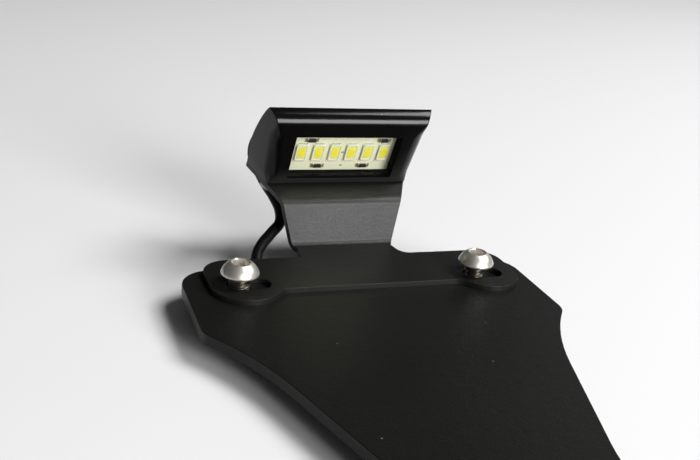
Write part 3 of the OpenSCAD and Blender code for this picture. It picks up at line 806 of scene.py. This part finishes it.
@dataclass(frozen=True)
class LampBoard:
    """The circuit board with its lights, resistors, solder pads and thin grey lines beside the lights.

    Lengths are in millimetres, and heights and the board's front are in the panel's axes.
    """

    front: float = 10.7
    row_height: float = 9.5
    row_middle: float = 0.4
    pitch: float = 5.1
    count: int = 6
    chip: tuple[float, float, float] = (3.4, 5.8, 0.55)
    resistor: tuple[float, float, float] = (2.8, 1.25, 0.5)
    tinned: float = 0.19
    film: float = 0.03
    outline_gap: float = 0.28
    resistor_places: tuple[tuple[float, float], ...] = ((-9.9, 14), (12.4, 14), (-6.4, 4.3), (7.8, 4.3))

    def on_board(self, grid: np.ndarray, x: float, n: float, lift: float) -> np.ndarray:
        """Carries a flat grid in millimetres onto the board's face, in the frame.

        Args:
            grid: points about the origin, the third axis off the board.
            x: place across the board.
            n: height above the panel.
            lift: height of the grid's origin off the board's face.
        """
        return PANEL.carry(spread(grid[..., 0] + x, self.front - lift - grid[..., 2], grid[..., 1] + n) * MM)

    def patch(self, name: str, x: float, n: float, half: tuple[float, float], lift: float,
              power: float = 12) -> bpy.types.Mesh:
        """A thin pad on the board's face."""
        grid = soft_block((half[0], half[1], self.film), 0.02, power, 32)
        return grid_mesh(name, self.on_board(grid, x, n, lift))

    def chip_frame(self, name: str, x: float) -> bpy.types.Mesh:
        """A light's frame: a rounded block whose top drops into a shallow tray."""
        w, h, t = self.chip
        block = soft_block((w / 2, h / 2, t / 2), 0.12, 10, 64)
        scale = np.array([1 - 0.30 / w, 1 - 0.50 / h])
        last = block[-1]
        tray = [np.concatenate([last[:, :2] * scale, last[:, 2:]], -1),
                np.concatenate([last[:, :2] * scale * 0.93, last[:, 2:] - 0.22], -1)]
        grid = np.concatenate([block, np.stack(tray)])
        return grid_mesh(name, self.on_board(grid, x, self.row_height, t / 2))

    def phosphor(self, name: str, x: float) -> bpy.types.Mesh:
        """The yellow filling: rings that shrink to the middle and rise in a low dome."""
        w, h, t = self.chip
        outline = superellipse(64, 0.34)
        size = np.array([w / 2 - 0.16, h / 2 - 0.36])
        steps = np.linspace(1, 0.02, 12)
        reach = steps[:, None, None]
        flat = outline[None] * size * reach
        rise = t - 0.17 + 0.10 * (1 - reach ** 2) * np.ones((*flat.shape[:2], 1))
        grid = np.concatenate([flat, rise], -1)
        skirt = np.concatenate([grid[:1, :, :2], np.full_like(rise[:1], t - 0.24)], -1)
        return grid_mesh(name, self.on_board(np.concatenate([skirt, grid]), x, self.row_height, 0),
                         reach=np.concatenate([[1.0], steps]))

    def light(self, number: int) -> None:
        """Makes one light with its solder pads and thin grey lines along its left and lower side."""
        x = self.row_middle + (number - (self.count + 1) / 2) * self.pitch
        w, h, _ = self.chip
        name = f"light_{number}"
        frame_mesh = self.chip_frame(f"{name}_frame", x)
        add_piece(f"{name}_frame", frame_mesh, Paint.CHIP_FRAME, [f"led_{number}"])
        add_piece(f"{name}_phosphor", self.phosphor(f"{name}_phosphor", x), Paint.PHOSPHOR)
        pads = [self.patch("pad", x, self.row_height + end * (h / 2 + 0.12), (w / 2 - 0.3, 0.28), 0.03)
                for end in (-1, 1)]
        add_piece(f"{name}_solder", joined("pads", pads), Paint.SOLDER)
        # thin grey lines along the light's left and lower side, set a small gap off its frame
        gap = self.outline_gap
        bars = [self.patch("bar", x - w / 2 - gap, self.row_height - 0.3, (0.05, h / 2 + 0.5), 0.02),
                self.patch("bar", x - gap / 2, self.row_height - h / 2 - 0.72, (w / 2 + gap / 2, 0.05), 0.02)]
        add_piece(f"{name}_outline", joined("bars", bars), Paint.PRINT)

    def resistor_piece(self, number: int) -> None:
        """Makes one resistor: a dark body between two tinned ends on solder pads."""
        x, n = self.resistor_places[number - 1]
        w, h, t = self.resistor
        name = f"resistor_{number}"
        body = soft_block((w / 2 - 0.3, h / 2, t / 2), 0.04, 14, 32)
        add_piece(f"{name}_body", grid_mesh(name, self.on_board(body, x, n, t / 2)), Paint.RESISTOR,
                  [name])
        ends, pads = [], []
        for side in (-1, 1):
            end = soft_block((self.tinned, h / 2, t / 2), 0.05, 12, 24)
            ends.append(grid_mesh(name, self.on_board(end, x + side * (w / 2 - self.tinned), n, t / 2)))
            pads.append(self.patch("pad", x + side * (w / 2 + 0.25), n, (0.5, h / 2 + 0.08), 0.03))
        add_piece(f"{name}_ends", joined("ends", ends), Paint.SOLDER)
        add_piece(f"{name}_pads", joined("pads", pads), Paint.GOLD_PAD)

    def marks(self) -> None:
        """Makes the two small printed marks, one between two lights and one below their row."""
        places = [(self.row_middle + 0.05, self.row_height - 0.2), (self.row_middle + 0.6, 4.3)]
        meshes = [self.patch("mark", x, n, (0.42, 0.3), 0.02, 4) for x, n in places]
        add_piece("board_marks", joined("marks", meshes), Paint.PRINT)

    def build(self) -> None:
        """Makes everything on the board."""
        soft_copy("led_board", Paint.LACQUER, 0.08 * MM, 2)
        for number in range(1, self.count + 1):
            self.light(number)
        for number in range(1, len(self.resistor_places) + 1):
            self.resistor_piece(number)
        self.marks()


@dataclass(frozen=True)
class LampHousing:
    """The moulded housing: a side profile carried across, whose ends turn softly into the face.

    Lengths are in millimetres in the panel's axes. The brow is a run of arcs, each with its radius and its
    first and last angle in degrees. A cut has its range across, back and up.
    """

    face: float = 7.0
    depth: float = 10.0
    height: float = 25.2
    back_height: float = 8.0
    dome: float = 1.6
    brow: tuple[tuple[float, float, float], ...] = ((0.8, 0, 32), (4.5, 32, 52), (5.0, 52, 90))
    foot: float = 0.9
    half_width: float = 21.4
    flare: float = math.tan(math.radians(22.3))
    lean: float = math.tan(math.radians(2.7)) / math.cos(math.radians(22.3))
    front_round: float = 2.8
    back_round: float = 0.25
    front_fade: float = 5.0
    top_fade: float = 6.0
    top_gap: float = 2.0
    foot_fade: float = 3.0
    edge: float = 0.12
    window: tuple[float, ...] = (-16.1, 16.1, 5.0, 11.2, 2.6, 18.0)
    board_slot: tuple[float, ...] = (-18.1, 18.1, 10.6, 12.0, -1.0, 19.4)
    wire_room: tuple[float, ...] = (-16.1, 16.1, 11.5, 15.2, -1.0, 13.2)
    inside: tuple[float, ...] = (-18.2, 18.2, 7.2, 15.5, 2.4, 19.5)

    def brow_line(self) -> np.ndarray:
        """The brow from the face's top to the start of the dome: arcs of a radius from one angle to another.

        Over an arc of radius r from angle a to b it goes r (cos a - cos b) back and r (sin b - sin a) up.
        """
        arcs = [np.zeros((1, 2))]
        for radius, first, last in self.brow:
            a, b = math.radians(first), np.radians(np.linspace(first, last, 9)[1:])
            step = radius * np.column_stack([math.cos(a) - np.cos(b), np.sin(b) - math.sin(a)])
            arcs.append(arcs[-1][-1] + step)
        line = np.vstack(arcs)
        return line + np.array([self.face, self.height - line[-1, 1]])

    def profile(self) -> np.ndarray:
        """The side profile from the face's foot over the brow and the domed back, as way back and height.

        The dome starts where the brow ends. It is a quarter ellipse whose sine and cosine are raised to a
        power above one, which flattens its middle.
        """
        back = self.face + self.depth
        turn = np.radians(np.linspace(265, 180, 8))
        brow = self.brow_line()
        dome = np.radians(np.linspace(88, 2, 30))
        reach = back - brow[-1, 0]
        rise = self.height - self.back_height
        parts = [
            np.column_stack([self.face + self.foot * (1 + np.cos(turn)), self.foot * (1 + np.sin(turn))]),
            np.column_stack([np.full(14, self.face), np.linspace(self.foot + 0.5, brow[0, 1] - 0.4, 14)]),
            brow,
            np.column_stack([back - reach + reach * np.cos(dome) ** self.dome,
                             self.back_height + rise * np.sin(dome) ** self.dome]),
            np.column_stack([np.full(8, back), np.linspace(self.back_height - 1, 0.3, 8)]),
            np.column_stack([np.linspace(back - 0.3, self.face + self.foot + 0.3, 6), np.zeros(6)])]
        return np.vstack(parts)

    def half_at(self, points: np.ndarray) -> np.ndarray:
        """Half the housing's width at points of the profile's plane."""
        return self.half_width + (points[..., 0] - self.face) * self.flare + points[..., 1] * self.lean

    def shell(self) -> np.ndarray:
        """The housing's outside, its rows running across it.

        At angle a of an end's rounding of radius r, a point lies r (1 - cos a) inside its end plane and
        r (1 - sin a) inside the profile. The radius is largest at the middle of the face's upright edges.
        """
        line = self.profile()
        along = np.roll(line, -1, 0) - np.roll(line, 1, 0)
        along /= np.linalg.norm(along, axis=1, keepdims=True)
        inward = np.column_stack([along[:, 1], -along[:, 0]])
        front = ease((self.face + self.front_fade - line[:, 0]) / self.front_fade)
        top = ease((self.height - self.top_gap - line[:, 1]) / self.top_fade)
        radius = self.back_round + (self.front_round - self.back_round) * front * top
        radius = radius * np.clip(line[:, 1] / self.foot_fade, 0.2, 1)
        turn = np.linspace(0, np.pi / 2, 12)
        rows = []
        for side, angles in ((-1, turn), (1, turn[::-1])):
            inset = radius * (1 - np.sin(angles))[:, None]
            flat = line[None] + inward[None] * inset[..., None]
            across = side * (self.half_at(flat) - radius * (1 - np.cos(angles))[:, None])
            rows.append(np.concatenate([across[..., None], flat], -1))
        across = np.linspace(-1, 1, 14)[1:-1, None] * (self.half_at(line) - radius)
        middle = spread(across, line[:, 0], line[:, 1])
        return np.concatenate([rows[0], middle, rows[1]])

    def cut(self, piece: bpy.types.Object) -> None:
        """Cuts the window, the board's slot and the room for the wires out of the shell."""
        made = []
        faces = [(0, 1, 3, 2), (4, 6, 7, 5), (0, 4, 5, 1), (2, 3, 7, 6), (0, 2, 6, 4), (1, 5, 7, 3)]
        for number, (x0, x1, s0, s1, n0, n1) in enumerate((self.window, self.board_slot, self.wire_room)):
            corners = np.array([(x, s, n) for x in (x0, x1) for s in (s0, s1) for n in (n0, n1)], float)
            mesh = bpy.data.meshes.new(f"cut_{number}")
            mesh.from_pydata(PANEL.carry(corners * MM).tolist(), [], faces)
            point_outwards(mesh)
            made.append(new_object(f"cut_{number}", mesh))
            step = piece.modifiers.new(f"cut_{number}", "BOOLEAN")
            step.operation = "DIFFERENCE"
            step.solver = "EXACT"
            step.object = made[-1]
        bpy.context.view_layer.update()
        graph = bpy.context.evaluated_depsgraph_get()
        result = bpy.data.meshes.new_from_object(piece.evaluated_get(graph), depsgraph=graph)
        piece.modifiers.clear()
        piece.data = result
        for cutter in made:
            bpy.data.objects.remove(cutter)

    def build(self) -> bpy.types.Object:
        """Makes the housing and gives the window's walls a darker, duller copy of the plastic, a painted
        shade for the recess.
        """
        mesh = grid_mesh("lamp_housing_shell", PANEL.carry(self.shell() * MM))
        piece = add_piece("lamp_housing_shell", mesh, Paint.LAMP, ["lamp_housing"])
        self.cut(piece)
        # painted shade: the window's walls take the darker copy of the plastic
        piece.data.materials.append(Paint.SHADED_WINDOW_WALL.material)
        middles = np.empty(len(piece.data.polygons) * 3, np.float32)
        piece.data.polygons.foreach_get("center", middles)
        at = PANEL.bring(middles.reshape(-1, 3)) / MM
        low, high = np.array(self.inside[::2]), np.array(self.inside[1::2])
        shaded_walls = ((at > low) & (at < high)).all(1)
        piece.data.polygons.foreach_set("material_index", shaded_walls.astype(np.int32))
        piece.data.shade_smooth()
        piece.data.set_sharp_from_angle(angle=math.radians(40))
        round_edges(piece, self.edge * MM, 2, 50)
        return piece


@dataclass(frozen=True)
class Grommet:
    """The rubber grommet, in millimetres: a tapered collar with grooves, and a neck in the housing's bore."""

    root_r: float = 3.2
    mouth_r: float = 2.45
    neck_r: float = 2.3
    neck: float = 2.4
    wall: float = 0.78
    groove: float = 0.16

    def build(self) -> bpy.types.Object:
        """Turns the collar's outline about the cable's axis."""
        t = np.linspace(0, 1, 40)
        radius = self.root_r + (self.mouth_r - self.root_r) * t - self.groove * (np.cos(t * 6 * np.pi) < -0.2)
        bore, reach = self.mouth_r - self.wall, GROMMET_REACH[1]
        profile = np.vstack([[bore, -self.neck], [self.neck_r, -self.neck], [self.neck_r, 0.0],
                             np.column_stack([radius, t * reach]), [bore, reach], [bore, -self.neck]])
        angle = full_turn(40)[None, :]
        r, along = profile[:, :1], profile[:, 1:]
        ring = spread(r * np.cos(angle), along, r * np.sin(angle))
        mesh = grid_mesh("grommet_collar", PANEL.carry((ring + GROMMET_AT) * MM), capped=False)
        mesh.set_sharp_from_angle(angle=math.radians(40))
        return add_piece("grommet_collar", mesh, Paint.RUBBER, ["cable_grommet"])


class Holder:
    """The whole holder, in the order in which it is put together."""

    def build(self) -> None:
        """Makes every piece, the cable first."""
        LampCable().build()
        soft_copy("base_plate", Paint.PLATE, 0.22 * MM)
        soft_copy("light_bracket", Paint.BRACKET, 0.26 * MM, crease=35)
        LampHousing().build()
        soft_copy("lamp_lens", Paint.PANE, 0.08 * MM, 2)
        LampBoard().build()
        for side in Side:
            SocketScrew(side, turn=0.3 if side is Side.LEFT else 0.75).build()
            soft_copy(f"lamp_screw_{side.value}", Paint.ZINC, 0.05 * MM, 2)
            for level in ("upper", "lower"):
                soft_copy(f"weld_nut_{level}_{side.value}", Paint.BRACKET, 0.25 * MM, 2)
        Grommet().build()


# Studio


@dataclass(frozen=True)
class Softbox:
    """A rectangular lamp: its middle, the point it faces, its width and height in metres, and its watts."""

    name: str
    place: tuple[float, float, float]
    aim: tuple[float, float, float]
    size: tuple[float, float]
    power: float

    def build(self) -> None:
        """Adds the lamp."""
        data = bpy.data.lights.new(self.name, "AREA")
        data.shape = "RECTANGLE"
        data.size, data.size_y = self.size
        data.energy = self.power
        lamp = new_object(self.name, data)
        lamp.location = self.place
        lamp.rotation_euler = (Vector(self.aim) - Vector(self.place)).to_track_quat("-Z", "Y").to_euler()


@dataclass(frozen=True)
class Studio:
    """Camera at the photo's viewing angle, its eye in millimetres from the screw line, floor and light."""

    eye: tuple[float, float, float] = (-94.96, -216.78, 116.13)
    yaw: float = math.radians(22.19)
    pitch: float = math.radians(21.449)
    roll: float = math.radians(6.685)
    lens: float = 49.05
    shift_y: float = -1 / 700
    floor_half: float = 6.0
    floor_tone: float = 0.82
    front_tone: float = 0.24
    rear_tone: float = 0.035
    lamps: tuple[Softbox, ...] = (
        Softbox("top_box", (1.00, -0.25, 1.40), (0, 0.12, 0), (0.8, 0.8), 28),
        Softbox("front_box", (0.42, -1.05, 0.40), (0, 0.07, 0.03), (0.6, 0.5), 16.5),
        Softbox("back_box", (1.25, 1.20, 0.72), (0, 0, 0), (0.7, 0.4), 0.8))

    def camera(self) -> None:
        """Places the camera, turned by yaw, pitch and roll about its own axes."""
        data = bpy.data.cameras.new("studio_camera")
        data.lens = self.lens
        data.sensor_width = 36
        data.shift_y = self.shift_y
        data.clip_start = 0.01
        camera = new_object("studio_camera", data)
        place = Matrix.Translation(Vector(self.eye) * MM + Vector((0, SCREW_LINE_Y, 0)))
        aim = Matrix.Rotation(-self.yaw, 4, "Z") @ Matrix.Rotation(math.pi / 2 - self.pitch, 4, "X")
        camera.matrix_world = place @ aim @ Matrix.Rotation(self.roll, 4, "Z")
        bpy.context.scene.camera = camera

    def floor(self) -> None:
        """Makes the pale floor that the holder lies on."""
        half = self.floor_half
        corners = [(-half, -half, 0), (half, -half, 0), (half, half, 0), (-half, half, 0)]
        mesh = bpy.data.meshes.new("studio_floor")
        mesh.from_pydata(corners, [], [(0, 1, 2, 3)])
        floor = new_object("studio_floor", mesh)
        mesh.materials.append(new_material("studio_floor", self.paint_floor))

    def paint_floor(self, board: Board) -> None:
        """Fills a board with an even pale grey without shine."""
        board.surface(rgb(*[self.floor_tone] * 3), 0.9, shine=0.0)

    def world(self) -> None:
        """Lights the surroundings: dim all round, paler towards the front."""
        world = bpy.data.worlds.new("studio_world")
        bpy.context.scene.world = world
        world.use_nodes = True
        board = Board(world.node_tree)
        way = board.add("ShaderNodeTexCoord", output="Generated")
        y = board.add("ShaderNodeSeparateXYZ", None, {0: way}, 1)
        tone = board.blend(y.smooth(-0.95, -0.45), rgb(*[self.front_tone] * 3), rgb(*[self.rear_tone] * 3))
        shader = board.add("ShaderNodeBackground", None, {"Color": tone, "Strength": 1.0})
        board.add("ShaderNodeOutputWorld", None, {"Surface": shader})

    def build(self) -> None:
        """Makes the floor, the lamps and the world."""
        self.floor()
        for lamp in self.lamps:
            lamp.build()
        self.world()
        bpy.context.scene.view_settings.view_transform = "Standard"


def main() -> None:
    """Builds the studio and the holder."""
    logging.basicConfig(level=logging.INFO, format="%(message)s")
    studio = Studio()
    studio.camera()
    Holder().build()
    studio.build()


if __name__ == "__main__":
    main()
